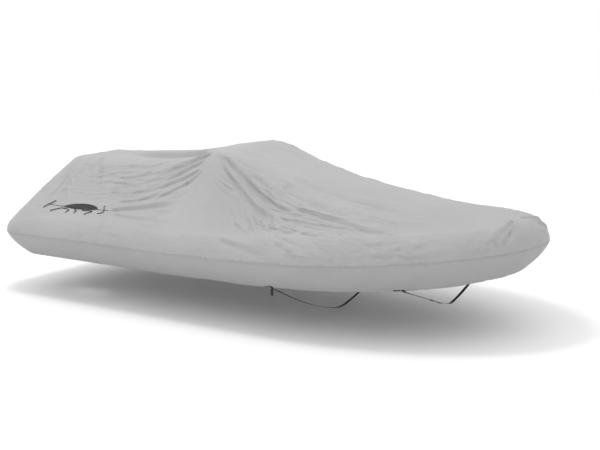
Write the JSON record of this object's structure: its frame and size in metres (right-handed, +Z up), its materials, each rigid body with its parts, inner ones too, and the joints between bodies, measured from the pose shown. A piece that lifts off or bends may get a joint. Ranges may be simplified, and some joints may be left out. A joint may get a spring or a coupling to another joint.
{
  "type": "boat cover",
  "caption": "Fitted hollow cover of grey coated cloth for an inflatable boat with a console, with laced slits for a roll bar and webbing straps that pass under the hull.",
  "frame": {"origin": "underside of the cloth at the middle of the console's top edge, where the boat holds the cover up", "axes": "+X towards the boat's bow, +Y to port, +Z up"},
  "size_m": [5.785, 2.4, 1.5126],
  "materials": {
    "crown": "matt coated polyester",
    "skirt_starboard": "matt coated polyester",
    "skirt_port": "matt coated polyester",
    "lace_starboard": "plaited polyester cord",
    "lace_port": "plaited polyester cord",
    "tab_fore_starboard": "woven webbing",
    "tab_fore_port": "woven webbing",
    "tab_mid_starboard": "woven webbing",
    "tab_mid_port": "woven webbing",
    "strap_fore_starboard": "woven webbing",
    "strap_fore_port": "woven webbing",
    "strap_mid": "woven webbing",
    "strap_link": "drawn wire"
  },
  "bodies": {
    "root": {"crown": "crown", "skirt_starboard": "skirt_starboard", "skirt_port": "skirt_port", "lace_starboard": "lace_starboard", "lace_port": "lace_port", "tab_fore_starboard": "tab_fore_starboard", "tab_fore_port": "tab_fore_port", "tab_mid_starboard": "tab_mid_starboard", "tab_mid_port": "tab_mid_port", "strap_fore_starboard": "strap_fore_starboard", "strap_fore_port": "strap_fore_port", "strap_mid": "strap_mid", "strap_link": "strap_link"}
  },
  "joints": []
}
